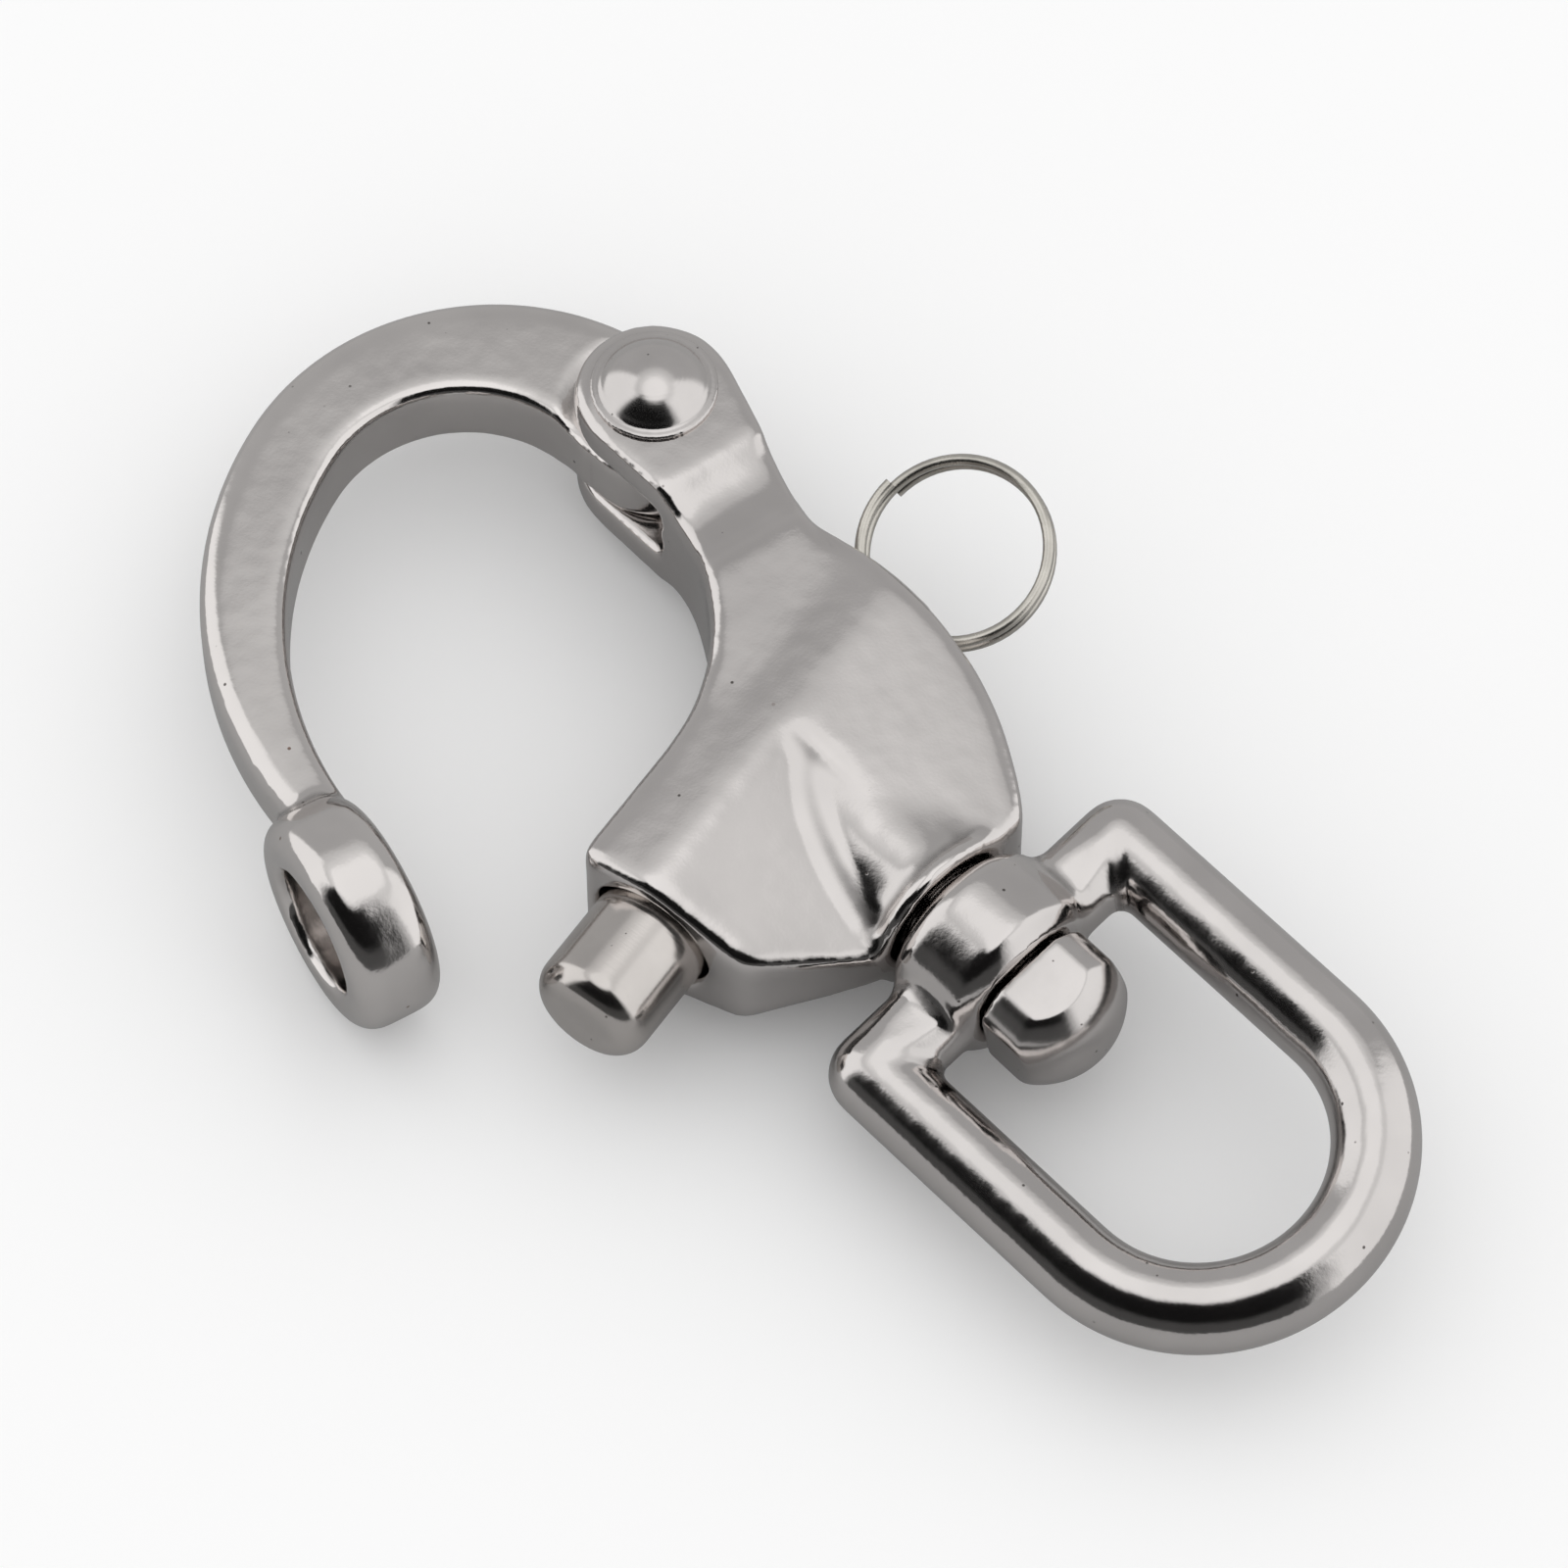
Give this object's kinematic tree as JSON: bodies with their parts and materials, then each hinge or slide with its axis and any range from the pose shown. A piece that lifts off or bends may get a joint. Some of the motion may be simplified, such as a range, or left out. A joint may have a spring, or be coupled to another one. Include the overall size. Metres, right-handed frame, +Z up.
{
  "type": "swivel snap shackle",
  "caption": "Cast stainless snap shackle with a hinged jaw locked by a spring plunger, a pull ring, and a D-shaped bail that swivels on a headed stud.",
  "frame": {"origin": "centre of the bow of the swivel bail, on the swivel axis and in the mid-plane of the body", "axes": "+X along the swivel axis, from the body towards the bail's bow; +Y across it, towards the hinge and the pull ring; +Z up, square to the flat body"},
  "size_m": [0.1342, 0.0798, 0.0224],
  "materials": {
    "cast_steel": "cast stainless steel, tumbled and polished",
    "turned_steel": "turned stainless steel, bright",
    "wire_steel": "drawn stainless wire, bright"
  },
  "bodies": {
    "housing": {"body": "cast_steel", "hinge_rivet": "turned_steel", "swivel_stud": "turned_steel", "plunger_spring": "wire_steel"},
    "jaw": {"jaw": "cast_steel"},
    "plunger": {"plunger": "turned_steel"},
    "pull_ring": {"pull_ring": "wire_steel"},
    "bail": {"swivel_bail": "cast_steel"}
  },
  "joints": [
    {"name": "jaw_hinge", "type": "hinge", "parent": "housing", "child": "jaw", "pos_m": [-0.0882, 0.0157, 0], "axis": [0, 0, 1], "range_deg": [-75, 24.8]},
    {"name": "plunger_slide", "type": "slide", "parent": "housing", "child": "plunger", "axis": [-0.2079, 0.9781, 0], "range_m": [0, 0.0109], "stiffness_N_per_m": 900, "springref_m": -0.008, "deforming": ["plunger_spring"]},
    {"name": "ring_swing", "type": "hinge", "parent": "plunger", "child": "pull_ring", "pos_m": [-0.05735, 0.01762, 0], "axis": [0.9781, 0.2079, 0], "range_deg": [-85, 45]},
    {"name": "bail_swivel", "type": "hinge", "parent": "housing", "child": "bail", "pos_m": [0, 0, 0], "axis": [1, 0, 0], "continuous": true}
  ]
}
